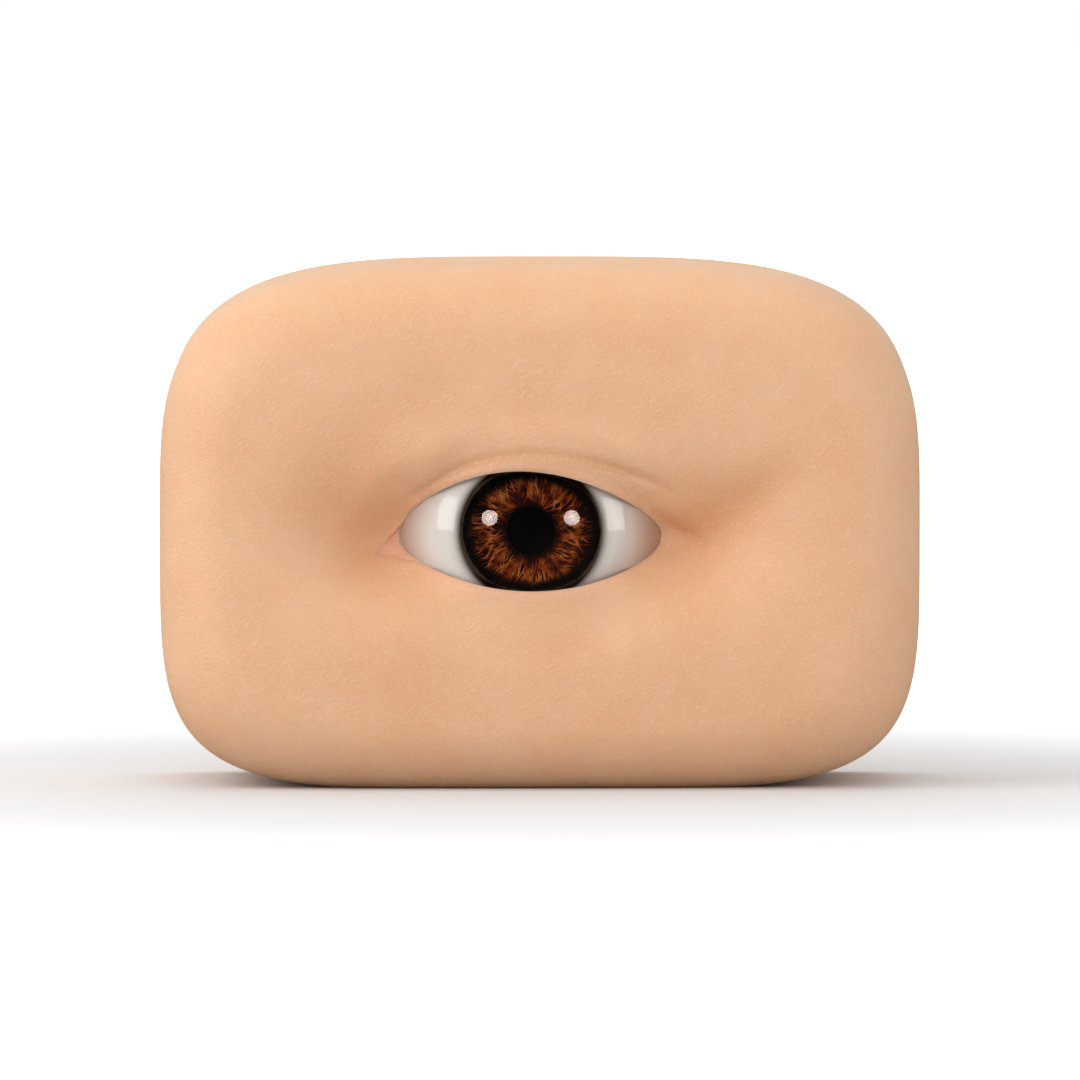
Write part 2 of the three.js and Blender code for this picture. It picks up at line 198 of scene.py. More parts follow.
def outline(angles, inset):
    """The pad's outline, moved in by inset, as x and z."""
    c, s = np.cos(angles), np.sin(angles)
    power = np.where(s > 0, square_top, square_bottom)
    half_height = np.where(s > 0, pad_height - outline_height, outline_height + wall_draft + stand_sink)
    scale = (np.abs(c) ** power + np.abs(s) ** power) ** (-1 / power)
    x = (pad_width / 2 - inset) * c * scale
    z = outline_height + (half_height - inset) * s * scale
    return x, np.maximum(z, 0)


def opening(angles):
    """The eye opening's edge, from the eye's centre."""
    c, s = np.cos(angles), np.sin(angles)
    lobe = {key: np.where(s > 0, upper_lid[key], lower_lid[key]) for key in upper_lid}
    height = lobe["rise"] * np.abs(s) ** lobe["power"] * (1 + lobe["lean"] * c + lobe["pinch"] * c * c)
    return opening_middle + opening_half * c, opening_axis + height


def fold_place(fold, u, w):
    """How far along a fold a point is, as a share of it, and how far above it, in millimetres."""
    run_u, run_w = (end - start for start, end in zip(fold["start"], fold["end"]))
    from_u, from_w = u - fold["start"][0], w - fold["start"][1]
    length = math.hypot(run_u, run_w)
    along = (from_u * run_u + from_w * run_w) / length**2
    bow = 4 * along * (1 - along) * (1 + fold["lean"] * (1 - 2 * along))
    slope = 4 * fold["arch"] * (1 - 2 * along) / length
    return along, ((from_w * run_u - from_u * run_w) / length - fold["arch"] * bow) / np.hypot(1, slope)


def fold_depth(fold, u, w):
    """A fold's groove, less the roll of skin above it."""
    along, above = fold_place(fold, u, w)
    fade = smooth(*fold["fade_in"], along) * (1 - smooth(*fold["fade_out"], along))
    groove = fold["deep"] * bell(above, fold["wide"])
    return fade * (groove - fold["roll"] * bell(above - fold["roll_up"], fold["roll_wide"]))


def caruncle_share(u, w):
    """1 in the wedge of the inner canthus, and 0 outside it."""
    tip_u, tip_w = caruncle["tip"]
    below_upper = tip_w + caruncle["upper_slope"] * (u - tip_u) - w
    above_lower = w - tip_w - caruncle["lower_slope"] * (u - tip_u)
    inside = smooth(0, caruncle["soft"], below_upper) * smooth(0, caruncle["soft"], above_lower)
    return inside * (1 - smooth(*caruncle["fade_out"], u))


def hollow_depth(hollow, u, w):
    across = bell(u - hollow["at"][0], hollow["wide"])
    return hollow["deep"] * across * bell(w - hollow["at"][1], hollow["tall"])


def relief(u, w):
    """Depth of the hollows and folds below the crowned face."""
    depth = hollow_depth(orbit, u, w) * mix(orbit_below, 1, smooth(*orbit_change, w))
    depth = depth + sum(hollow_depth(hollow, u, w) for hollow in canthi)
    return depth + sum(fold_depth(fold, u, w) for fold in folds.values())


def skin_y(x, z):
    """The y of the skin: the crowned and folded face, with the lids' dome standing out of it."""
    u, w = x - eye_x, z - eye_z
    power = np.where(z > outline_height, square_top, square_bottom)
    half_height = np.where(z > outline_height, pad_height - outline_height, outline_height)
    across, up = np.abs(2 * x / pad_width), np.abs((z - outline_height) / half_height)
    from_middle = (across**power + up**power) ** (1 / power)
    depth = relief(u, w)
    face = face_y + crown_drop * from_middle**crown_power + temple_drop * 2 * x / pad_width + depth
    lid_radius = ball_radius + socket_gap + lid_wall
    round_share = np.maximum(0, 1 - (u / lid_reach) ** 2 - (w / lid_radius) ** 2)
    dome = eye_y - lid_radius * np.sqrt(round_share) + lid_folding * (depth - orbit["deep"])
    blend = mix(cheek_blend, lid_blend, smooth(*blend_change, w))
    share = np.clip(0.5 + 0.5 * (face - dome) / blend, 0, 1)
    bead = caruncle["bead"] * bell(u - caruncle["bead_at"][0], caruncle["bead_wide"])
    bead = bead * bell(w - caruncle["bead_at"][1], caruncle["bead_tall"])
    recess = (caruncle["deep"] - bead) * caruncle_share(u, w)
    return mix(face, dome, share) - blend * share * (1 - share) + recess


def socket_radius(tilt, turn):
    """Radius of the socket behind the lids, with room for the cornea as the eye turns from side to side."""
    right, front = np.sin(tilt) * np.cos(turn), np.cos(tilt)
    turned_by = np.clip(np.arctan2(right, front), -gaze_limit, gaze_limit)
    off_axis = np.arccos(np.clip(right * np.sin(turned_by) + front * np.cos(turned_by), -1, 1))
    reach = cornea_centre * np.cos(off_axis)
    bulge = reach + np.sqrt(cornea_radius**2 - (cornea_centre * np.sin(off_axis)) ** 2) - ball_radius
    return ball_radius + socket_gap + np.where(off_axis < limbus_angle, bulge, 0)


def pad_rings(columns):
    """The pad's skin as rings of points, from the lid's edge over the face and back through the socket."""
    angles = np.arange(columns) * 2 * math.pi / columns
    rings, wet = [], []

    def ring(place, y, wetness=0.0):
        x, z = place
        y = np.broadcast_to(y, x.shape)
        rings.append(np.stack([x, y, z], axis=1))
        wet.append(np.broadcast_to(wetness, x.shape))

    u, w = opening(angles)
    edge = (u + eye_x, w + eye_z)
    shoulder = outline(angles, wall_draft + shoulder_width)
    reach = np.hypot(shoulder[0] - edge[0], shoulder[1] - edge[1])

    def at(distance):
        return tuple(mix(start, end, distance / reach) for start, end in zip(edge, shoulder))

    turn = np.arctan2(w, u)
    offset = np.hypot(u, w)
    slack = socket_gap - lid_touch
    # the tilt at which the edge meets the socket settles in a few rounds
    tilt = np.arcsin(offset / bore_radius)
    for _ in range(6):
        tilt = np.arcsin(offset / (socket_radius(tilt, turn) - slack))
    inner_y = eye_y - (socket_radius(tilt, turn) - slack) * np.cos(tilt)

    is_upper = smooth(-0.5, 0.5, np.sin(angles))
    margin = mix(corner_margin, mix(*lid_margins, is_upper), smooth(0.1, 0.8, np.abs(np.sin(angles))))
    surplus = inner_y - skin_y(*edge) - margin
    pulled = 0.5 * (surplus + np.hypot(surplus, margin_soft * margin))
    thinned = mix(*margin_reach, is_upper)

    def lid_y(distance):
        """The skin's y at a distance out from the opening's edge, where the lids thin towards it."""
        return skin_y(*at(distance)) + pulled * (1 - smooth(0, thinned, distance))

    thickness = inner_y - lid_y(0)
    edge_round = np.minimum(lid_edge, lid_edge_share * thickness)
    outer_y = inner_y - lid_lip * thickness
    for share in np.linspace(1, 0, 5)[:-1]:
        ring(edge, mix(outer_y, inner_y, share), rim_wetness)
    for share in np.linspace(0, 1, 9):
        place = at(edge_round * share)
        fleshy = caruncle_share(place[0] - eye_x, place[1] - eye_z)
        y = lid_y(edge_round * share) + (outer_y - lid_y(0)) * (1 - share) ** 2
        ring(place, y, np.maximum(fleshy, rim_wetness * (1 - smooth(0.3, 1, share))))
    steady, crowded = 0.55, 0.45  # shares of the rings' spacing that are even and that crowd at the lid
    for share in np.linspace(0, 1, 121)[1:]:
        distance = mix(edge_round, reach, steady * share + crowded * share**2.6)
        place = at(distance)
        fleshy = caruncle_share(place[0] - eye_x, place[1] - eye_z)
        ring(place, lid_y(distance), np.maximum(fleshy, bell(distance - edge_round, 0.25) * 0.1))
    for step in np.linspace(0, math.pi / 2, 17)[1:]:
        place = outline(angles, wall_draft + shoulder_width * (1 - math.sin(step)))
        ring(place, skin_y(*place) + shoulder_drop * (1 - math.cos(step)))
    wall_start = rings[-1][:, 1]
    for share in np.linspace(0, 1, 9)[1:-1]:
        ring(outline(angles, wall_draft * (1 - share)), mix(wall_start, back_y - back_rounding, share))
    for step in np.linspace(0, math.pi / 2, 6):
        place = outline(angles, back_rounding * (1 - math.cos(step)))
        ring(place, back_y - back_rounding * (1 - math.sin(step)))

    even = np.where(angles > math.pi, angles - 2 * math.pi, angles)

    def circle(radius, y):
        ring((radius * np.cos(even) + eye_x, radius * np.sin(even) + eye_z), y)

    circle(flange_radius + plug_gap, back_y)
    circle(flange_radius + plug_gap, back_y - counterbore)
    circle(bore_radius, back_y - counterbore)
    circle(bore_radius, eye_y)
    behind = np.abs(turn - even) > math.pi
    turn = np.where(behind, turn + 2 * math.pi * np.sign(even - turn), turn)
    for share in np.linspace(0, 1, 25)[1:-1]:
        lean = mix(math.pi / 2, tilt, share)
        swing = mix(even, turn, share**1.5)
        radius = socket_radius(lean, swing)
        out = radius * np.sin(lean)
        ring((out * np.cos(swing) + eye_x, out * np.sin(swing) + eye_z), eye_y - radius * np.cos(lean))
    return np.array(rings), np.array(wet)


def lofted(name, rings, wraps):
    """A mesh over rings of points in millimetres. wraps also joins the last ring to the first."""
    count, columns = rings.shape[:2]
    rows = np.arange(count if wraps else count - 1)[:, None]
    across = np.arange(columns)[None, :]
    next_row, next_across = (rows + 1) % count, (across + 1) % columns
    quads = [
        rows * columns + across,
        rows * columns + next_across,
        next_row * columns + next_across,
        next_row * columns + across,
    ]
    faces = np.stack(quads, axis=-1).reshape(-1, 4).tolist()
    mesh = bpy.data.meshes.new(name)
    mesh.from_pydata((rings.reshape(-1, 3) * MM).tolist(), [], faces)
    return mesh


def piece_of(mesh, crisp=40):
    """A mesh's object: normals out, doubles merged, and smooth but for edges sharper than crisp degrees."""
    work = bmesh.new()
    work.from_mesh(mesh)
    bmesh.ops.remove_doubles(work, verts=work.verts, dist=0.0005 * MM)
    bmesh.ops.recalc_face_normals(work, faces=work.faces)
    work.to_mesh(mesh)
    work.free()
    mesh.polygons.foreach_set("use_smooth", [True] * len(mesh.polygons))
    mesh.set_sharp_from_angle(angle=math.radians(crisp))
    piece = bpy.data.objects.new(mesh.name, mesh)
    bpy.context.scene.collection.objects.link(piece)
    return piece


def colour(code):
    """An sRGB hex colour as linear RGBA."""
    parts = [int(code[i : i + 2], 16) / 255 for i in (1, 3, 5)]
    return (*[p / 12.92 if p <= 0.04045 else ((p + 0.055) / 1.055) ** 2.4 for p in parts], 1)


def add(tree, kind, settings={}, inputs={}):
    """A new node with its settings and its inputs, each a value or another node's output."""
    node = tree.nodes.new(kind)
    for key, value in settings.items():
        setattr(node, key, value)
    for key, value in inputs.items():
        if isinstance(value, bpy.types.NodeSocket):
            tree.links.new(value, node.inputs[key])
        else:
            node.inputs[key].default_value = value
    return node


def calc(tree, operation, *values):
    """The result of a math node."""
    return add(tree, "ShaderNodeMath", {"operation": operation}, dict(enumerate(values))).outputs[0]


def ranged(tree, value, low, high, to_low=0, to_high=1, soft=False):
    """A value taken from one range to another and held there, and eased at both ends where soft."""
    settings = {"interpolation_type": "SMOOTHSTEP"} if soft else {}
    inputs = {0: value, 1: low, 2: high, 3: to_low, 4: to_high}
    return add(tree, "ShaderNodeMapRange", settings, inputs).outputs[0]


def noise(tree, place, size, detail, roughness=0.5):
    """Noise whose lumps have a size in millimetres."""
    inputs = {"Vector": place, "Scale": 1 / (size * MM), "Detail": detail, "Roughness": roughness}
    return add(tree, "ShaderNodeTexNoise", {}, inputs).outputs["Fac"]


def blended(tree, share, start, end):
    """The colour at a share of the way between two, each a hex code or another node's output."""
    start, end = (colour(code) if isinstance(code, str) else code for code in (start, end))
    return add(tree, "ShaderNodeMix", {"data_type": "RGBA"}, {0: share, 6: start, 7: end}).outputs[2]


def attribute(tree, name):
    return add(tree, "ShaderNodeAttribute", {"attribute_name": name}).outputs["Fac"]


def material(name):
    """A new material, its node tree, its Principled shader and the place in the object's own frame."""
    made = bpy.data.materials.new(name)
    made.use_nodes = True
    tree = made.node_tree
    return made, tree, tree.nodes["Principled BSDF"], add(tree, "ShaderNodeTexCoord").outputs["Object"]


# Cast silicone skin, matt from the mould's blasted face. To the eye: soft peach with a warm painted shade
# in the folds and a painted shade under the crease, faint mottling, a fine grain of skin lines with painted
# highlights on its ridges, light that soaks in a little, and a moist gloss at the lids' rims.
skin, tree, shader, place = material("cast_silicone_skin")
mottle = noise(tree, place, 9, 3)
blotch = noise(tree, place, 2.2, 4, 0.6)
tint = blended(tree, ranged(tree, mottle, 0.3, 0.7), "#f0c19a", "#ecb88e")
tint = blended(tree, ranged(tree, blotch, 0.45, 0.75, 0, 0.25), tint, "#e9b38c")
# painted shade: the folds and the corners' hollows are coloured warmer and darker by their depth
tint = blended(tree, attribute(tree, "fold_shade"), tint, "#e4a675")
wetness = attribute(tree, "wetness")
tint = blended(tree, wetness, tint, "#f0b898")
tint = blended(tree, attribute(tree, "shade"), tint, "#c08e62")
skin_line = 0.42
wet_lump = 0.5
wet_lump_height = 5  # against a skin line's 0.5
ridge_width = 0.15
ridge_highlight = 0.34
grain_turn = math.radians(-38)
grain_lie = add(
    tree,
    "ShaderNodeMapping",
    {"vector_type": "TEXTURE"},
    {"Vector": place, "Rotation": (0, grain_turn, 0), "Scale": (3, 1, 1)},
).outputs[0]
ridge = ranged(tree, noise(tree, grain_lie, ridge_width, 2), 0.46, 0.74)
# painted highlight: the fine raised ridges are coloured paler, as if they caught the light
tint = blended(tree, calc(tree, "MULTIPLY", ridge, ridge_highlight), tint, "#ffdcbc")
tree.links.new(tint, shader.inputs["Base Color"])
tree.links.new(ranged(tree, wetness, 0, 1, 0.5, 0.18), shader.inputs["Roughness"])
shader.inputs["IOR"].default_value = 1.41
shader.inputs["Subsurface Weight"].default_value = 0.5
shader.inputs["Subsurface Radius"].default_value = (1.0, 0.45, 0.25)
shader.inputs["Subsurface Scale"].default_value = 0.35 * MM
lines = add(
    tree,
    "ShaderNodeTexVoronoi",
    {"feature": "DISTANCE_TO_EDGE"},
    {"Vector": grain_lie, "Scale": 1 / (skin_line * MM), "Randomness": 1},
)
height = calc(tree, "ADD", ranged(tree, lines.outputs["Distance"], 0, 0.25, 0, 0.5), ridge)
wet_lumps = calc(tree, "MULTIPLY", noise(tree, grain_lie, wet_lump, 1), wetness)
height = calc(tree, "MULTIPLY_ADD", wet_lumps, wet_lump_height, height)
bump = add(
    tree, "ShaderNodeBump", {}, {"Height": height, "Strength": 0.55, "Distance": 0.06 * MM}
)
tree.links.new(bump.outputs[0], shader.inputs["Normal"])

rings, wet = pad_rings(columns=416)
pad_mesh = lofted("skin_pad", rings, wraps=True)
u, w = rings[..., 0] - eye_x, rings[..., 2] - eye_z
on_face = rings[..., 1] < face_y + crown_drop + shoulder_drop
grooves = sum(np.maximum(fold_depth(fold, u, w), 0) for fold in folds.values())
corners = sum(hollow_depth(hollow, u, w) for hollow in canthi)
# painted shade in the folds and the corners' hollows, by their depth
groove_shading = 0.65  # for each millimetre of depth, as the next one
corner_shading = 0.07
most_fold_shading = 0.85
lid_shade = 0.4
fold_shading = np.where(on_face, np.clip(groove_shading * grooves + corner_shading * corners, 0, most_fold_shading), 0)
across = np.clip((u - opening_middle) / opening_half, -1, 1)
above_lid = w - opening(np.arccos(across))[1]
under_crease = 1 - smooth(-0.6, 0.6, fold_place(folds["crease"], u, w)[1])
on_lid = smooth(0.2, 1.2, above_lid) * under_crease * smooth(0.1, 0.7, 1 - across * across)
shaded = np.where(on_face, lid_shade * on_lid, 0)
for name, values in (("fold_shade", fold_shading), ("wetness", wet), ("shade", shaded)):
    pad_mesh.attributes.new(name, "FLOAT", "POINT").data.foreach_set("value", values.ravel())
pad = piece_of(pad_mesh)
pad.data.materials.append(skin)
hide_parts("skin_pad")
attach(pad, "pad")

# Eyeball shell
# A hollow ball of warm white acrylic, moulded in two halves that lap at the equator and polished.
# The front half has a pocket for the iris cup.
shell_wall = 2.2
cast_gap = 0.1
cup_wall = 0.55
cup_floor = 0.6
cup_depth = 2.55
pocket_wall = 1.6
joint_lap = 2
cup_radius = limbus_radius - cast_gap
cup_inner = cup_radius - cup_wall
cup_rim_y = limbus_y + cast_gap
cup_floor_y = cup_rim_y + cup_depth
cup_back_y = cup_floor_y + cup_floor
inner_radius = ball_radius - shell_wall
turns = 192


def arc(radius, centre, start, stop, count):
    """Profile points on a circle round the eye's axis. Angle 0 is the front."""
    return [
        (radius * math.sin(a), centre - radius * math.cos(a)) for a in np.linspace(start, stop, count + 1)
    ]


def turned(name, profile):
    """A piece turned about the eye's axis from a profile of radius and y, from the eye's centre."""
    angles = np.arange(turns) * 2 * math.pi / turns
    rings = []
    for radius, y in profile:
        x, z = (max(radius, 0) * part for part in (np.cos(angles), np.sin(angles)))
        rings.append(np.stack([x + eye_x, np.full(turns, y + eye_y), z + eye_z], axis=1))
    return piece_of(lofted(name, np.array(rings), wraps=profile[0][0] > 0), crisp=30)


pocket_y = cup_back_y + cast_gap
boss_radius = limbus_radius + pocket_wall
boss_y = pocket_y + pocket_wall
lap_radius = ball_radius - shell_wall / 2
rebate_y = -joint_lap - cast_gap
front_half = turned(
    "sclera_front",
    [
        (0, pocket_y),
        (limbus_radius, pocket_y),
        *arc(ball_radius, 0, limbus_angle, math.pi / 2, 48),
        (lap_radius, 0),
        (lap_radius, rebate_y),
        *arc(inner_radius, 0, math.acos(-rebate_y / inner_radius), math.asin(boss_radius / inner_radius), 16),
        (boss_radius, boss_y),
        (0, boss_y),
    ],
)
spigot_radius = lap_radius - cast_gap
back_half = turned(
    "sclera_back",
    [
        *arc(inner_radius, 0, math.pi, math.pi / 2 + 0.05, 24),
        (math.sqrt(inner_radius**2 - joint_lap**2), -joint_lap),
        (spigot_radius, -joint_lap),
        (spigot_radius, cast_gap),
        *arc(ball_radius, 0, math.acos(-cast_gap / ball_radius), math.pi, 48),
    ],
)

def vector_calc(tree, operation, *values):
    """The result of a vector math node: a length, or else a vector."""
    node = add(tree, "ShaderNodeVectorMath", {"operation": operation}, dict(enumerate(values)))
    return node.outputs["Value" if operation == "LENGTH" else "Vector"]


def seen_from_eye(tree, place):
    """A place from the eye's centre, and its distance from the eye's axis."""
    from_eye = vector_calc(tree, "SUBTRACT", place, (eye_x * MM, eye_y * MM, eye_z * MM))
    return from_eye, vector_calc(tree, "LENGTH", vector_calc(tree, "MULTIPLY", from_eye, (1, 0, 1)))


def ramped(tree, share, stops):
    """The colour of a ramp over stops, each a position and a hex code."""
    ramp = add(tree, "ShaderNodeValToRGB", {}, {0: share})
    elements = ramp.color_ramp.elements
    while len(elements) < len(stops):
        elements.new(0.5)
    for element, (position, code) in zip(elements, stops):
        element.position = position
        element.color = colour(code)
    return ramp.outputs[0]


# Polished white acrylic. To the eye: a warm off-white with a sharp gloss, that greys where the black cup
# shows through the thin rim at the cornea, browns where the lids meet it, partly a tint of the ball's corners
# and partly painted shade of the lids, and is white again behind them.
white, tree, shader, place = material("polished_white_acrylic")
from_eye, off_axis = seen_from_eye(tree, place)
rim_stops = [(7.2, "#47413c"), (7.35, "#79726b"), (7.6, "#b0aba5"), (7.95, "#d6d2cc"), (8.6, "#e5e1db")]
ground = ramped(
    tree,
    calc(tree, "DIVIDE", off_axis, ball_radius * MM),
    [(radius / ball_radius, code) for radius, code in rim_stops],
)
# painted shade of the lids: a brown oval on the white where the lids meet it, set off to the left so that it
# is deeper on the temple side
lid_shade_oval = (13.4, 8)  # half width and half height of the oval along which the lids meet the white
lid_shade_shift = (-0.9, 0, -0.2)
lid_shade_band = (0.66, 1.08)  # the tint sets in between these shares of the oval's size
lid_shade_end = (-5.5, -2)  # and fades out between these places behind the lids
shifted = vector_calc(tree, "SUBTRACT", from_eye, [part * MM for part in lid_shade_shift])
oval_scale = (1 / (lid_shade_oval[0] * MM), 0, 1 / (lid_shade_oval[1] * MM))
in_oval = vector_calc(tree, "LENGTH", vector_calc(tree, "MULTIPLY", shifted, oval_scale))
depth_in = add(tree, "ShaderNodeSeparateXYZ", {}, {0: from_eye}).outputs["Y"]
bare = ranged(tree, depth_in, lid_shade_end[0] * MM, lid_shade_end[1] * MM, 1, 0, soft=True)
lid_shaded = calc(tree, "MULTIPLY", ranged(tree, in_oval, *lid_shade_band, soft=True), bare)
# the white browns with painted shade of the lids and a pinkish tint towards the corners
tree.links.new(blended(tree, lid_shaded, ground, "#b28c76"), shader.inputs["Base Color"])
shader.inputs["Roughness"].default_value = 0.06
shader.inputs["IOR"].default_value = 1.49
shader.inputs["Subsurface Weight"].default_value = 0.5
shader.inputs["Subsurface Radius"].default_value = (0.8, 0.8, 0.9)
shader.inputs["Subsurface Scale"].default_value = 0.8 * MM
for half, node in ((front_half, "sclera_front"), (back_half, "sclera_back")):
    half.data.materials.append(white)
    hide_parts(node)
    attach(half, "eyeball")

# Iris cup and pupil
# A black moulded cup seats in the ball's pocket, and its wall shows through the cornea as a dark ring.
# A black disc in the iris is the pupil.
iris_thickness = 0.5
iris_dish = 0.4
pupil_radius = 2
pressed = 0.01  # the pupil is pressed into the iris, with no more than this between them
iris_hole = pupil_radius + cast_gap
iris_radius = cup_inner - cast_gap
iris_edge_y = cup_floor_y - cast_gap - iris_thickness - iris_dish
cup = turned(
    "iris_cup",
    [
        (0, cup_floor_y),
        (cup_inner, cup_floor_y),
        (cup_inner, cup_rim_y),
        (cup_radius, cup_rim_y),
        (cup_radius, cup_back_y),
        (0, cup_back_y),
    ],
)
pupil = turned(
    "pupil_disc",
    [
        (0, iris_edge_y + iris_dish),
        (iris_hole - pressed, iris_edge_y + iris_dish),
        (iris_hole - pressed, cup_floor_y - cast_gap),
        (0, cup_floor_y - cast_gap),
    ],
)

# Black styrene, moulded smooth. To the eye: a deep, faintly brown black without a sheen, since clear resin
# wets it, and a browner rim where the white ball's light gets into the resin round it.
wetted = 0.04  # the gloss level that is left under the resin, where a bare surface has 0.5
browner_from = 6.8
black, tree, shader, place = material("black_moulded_styrene")
cloudy = blended(tree, noise(tree, place, 1, 2), "#010101", "#040202")
off_axis = seen_from_eye(tree, place)[1]
browner = ranged(tree, off_axis, browner_from * MM, limbus_radius * MM, soft=True)
tree.links.new(blended(tree, browner, cloudy, "#1a0f0a"), shader.inputs["Base Color"])
shader.inputs["Roughness"].default_value = 0.45
shader.inputs["Specular IOR Level"].default_value = wetted
for piece, node in ((cup, "iris_cup"), (pupil, "pupil_disc")):
    piece.data.materials.append(black)
    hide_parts(node)
    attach(piece, "eyeball")

# Iris
# A dished ring, painted dark, with hundreds of fine raised strands of brown paint from the pupil outwards.
# The strands bend round dark gaps, bunch together and part again, and fade into the ring's dark rim.
iris = turned(
    "iris_disc",
    [
        (iris_hole, iris_edge_y + iris_dish),
        *[
            (mix(iris_hole, iris_radius, share), iris_edge_y + iris_dish * (1 - share))
            for share in np.linspace(0, 1, 24)[1:]
        ],
        (iris_radius, cup_floor_y - cast_gap),
        (iris_hole, cup_floor_y - cast_gap),
    ],
)


strand_lengths = (
    "Hole", "Rim", "Dish", "First Start", "Last Start", "First End", "Last End", "Sway", "Thickness"
)


def strand_tree():
    """Geometry nodes that lay curved strands round a dished ring."""
    tree = bpy.data.node_groups.new("painted_strands", "GeometryNodeTree")
    floats = (*strand_lengths, "Sway Scale", "Tone")
    kinds = {"Strands": "Int", "Points": "Int", **dict.fromkeys(floats, "Float"), "Seed": "Int"}
    for name, kind in {**kinds, "Material": "Material"}.items():
        tree.interface.new_socket(name, in_out="INPUT", socket_type="NodeSocket" + kind)
    tree.interface.new_socket("Geometry", in_out="OUTPUT", socket_type="NodeSocketGeometry")
    given = add(tree, "NodeGroupInput").outputs

    # one straight strand of points from 0 to 1 on each of the points, made real
    points = add(tree, "GeometryNodePoints", {}, {"Count": given["Strands"]})
    line = add(tree, "GeometryNodeCurvePrimitiveLine", {}, {"End": (1, 0, 0)})
    strand = add(tree, "GeometryNodeResampleCurve", {}, {"Curve": line.outputs[0], "Count": given["Points"]})
    laid = add(
        tree, "GeometryNodeInstanceOnPoints", {}, {"Points": points.outputs[0], "Instance": strand.outputs[0]}
    )
    strands = add(tree, "GeometryNodeRealizeInstances", {}, {0: laid.outputs[0]})
    own_index = add(
        tree,
        "GeometryNodeFieldOnDomain",
        {"data_type": "INT", "domain": "CURVE"},
        {0: add(tree, "GeometryNodeInputIndex").outputs[0]},
    ).outputs[0]
    along = add(tree, "GeometryNodeSplineParameter").outputs["Factor"]

    def chance(low, high, offset):
        inputs = {"ID": own_index, "Seed": calc(tree, "ADD", given["Seed"], offset), 2: low, 3: high}
        return add(tree, "FunctionNodeRandomValue", {"data_type": "FLOAT"}, inputs).outputs[1]

    # each strand's radius from its own start to its own end
    starts = chance(given["First Start"], given["Last Start"], 1)
    ends = chance(given["First End"], given["Last End"], 2)
    radius = ranged(tree, along, 0, 1, starts, ends)
    jittered = calc(tree, "ADD", own_index, chance(-0.45, 0.45, 3))
    angle = calc(tree, "MULTIPLY", calc(tree, "DIVIDE", jittered, given["Strands"]), 2 * math.pi)

    # sideways bends, alike for strands that lie beside each other
    depth = calc(tree, "DIVIDE", radius, given["Rim"])
    polar = {0: calc(tree, "COSINE", angle), 1: calc(tree, "SINE", angle), 2: depth}
    polar = add(tree, "ShaderNodeCombineXYZ", {}, polar).outputs[0]
    shift = add(tree, "ShaderNodeCombineXYZ", {}, {2: given["Seed"]}).outputs[0]
    spot = vector_calc(tree, "ADD", polar, shift)
    waves = {"Vector": spot, "Scale": given["Sway Scale"], "Detail": 1, "Roughness": 0.5}
    field = add(tree, "ShaderNodeTexNoise", {}, waves).outputs["Fac"]
    sway = calc(tree, "MULTIPLY", calc(tree, "SUBTRACT", field, 0.5), given["Sway"])
    angle = calc(tree, "ADD", angle, calc(tree, "DIVIDE", sway, radius))

    # the point on the dished ring
    x = calc(tree, "MULTIPLY", radius, calc(tree, "COSINE", angle))
    z = calc(tree, "MULTIPLY", radius, calc(tree, "SINE", angle))
    y = ranged(tree, radius, given["Hole"], given["Rim"], given["Dish"], 0)
    where = add(tree, "ShaderNodeCombineXYZ", {}, {0: x, 1: y, 2: z}).outputs[0]
    placed = add(tree, "GeometryNodeSetPosition", {}, {"Geometry": strands.outputs[0], "Position": where})

    # tone for the paint, and a round section that tapers to both ends
    toned = add(
        tree,
        "GeometryNodeStoreNamedAttribute",
        {"data_type": "FLOAT", "domain": "POINT"},
        {
            "Geometry": placed.outputs[0],
            "Name": "tone",
            "Value": calc(tree, "MULTIPLY", chance(0.45, 1, 4), given["Tone"]),
        },
    )
    swell = calc(tree, "SINE", calc(tree, "MULTIPLY", along, math.pi))
    swell = calc(tree, "MULTIPLY_ADD", swell, 0.75, 0.25)
    girth = calc(tree, "MULTIPLY", calc(tree, "MULTIPLY", swell, chance(0.5, 1, 5)), given["Thickness"])
    section = add(tree, "GeometryNodeCurvePrimitiveCircle", {}, {"Resolution": 5, "Radius": 0.5})
    solid = add(
        tree,
        "GeometryNodeCurveToMesh",
        {},
        {"Curve": toned.outputs[0], "Profile Curve": section.outputs[0], "Scale": girth, "Fill Caps": True},
    )
    real = add(tree, "GeometryNodeRealizeInstances", {}, {0: solid.outputs[0]})
    painted = add(
        tree, "GeometryNodeSetMaterial", {}, {"Geometry": real.outputs[0], "Material": given["Material"]}
    )
    add(tree, "NodeGroupOutput", {}, {"Geometry": painted.outputs[0]})
    return tree


# Brown enamel over a dark ground. To the eye: orange-brown strands of many tones, darker towards the rim and
# the pupil, with painted shade of the lids over the rim above and below, on a near-black brown that shows
# between them.
pupil_band = (2.1, 2.9)  # the strands lighten between these distances from the eye's axis
rim_band = (4.9, 6)  # and darken between these, sooner above and below
paint, tree, shader, place = material("brushed_brown_enamel")
from_eye, off_axis = seen_from_eye(tree, place)
patchy = ranged(tree, noise(tree, place, 1.2, 3), 0.35, 0.65, 0.45, 1.6)
lit = calc(tree, "MULTIPLY", attribute(tree, "tone"), patchy)
lit = calc(tree, "MULTIPLY", lit, ranged(tree, off_axis, pupil_band[0] * MM, pupil_band[1] * MM, 0.55, 1))
browns = ramped(tree, lit, [(0.0, "#100504"), (0.25, "#46190a"), (0.6, "#aa4b18"), (1.0, "#dc8644")])
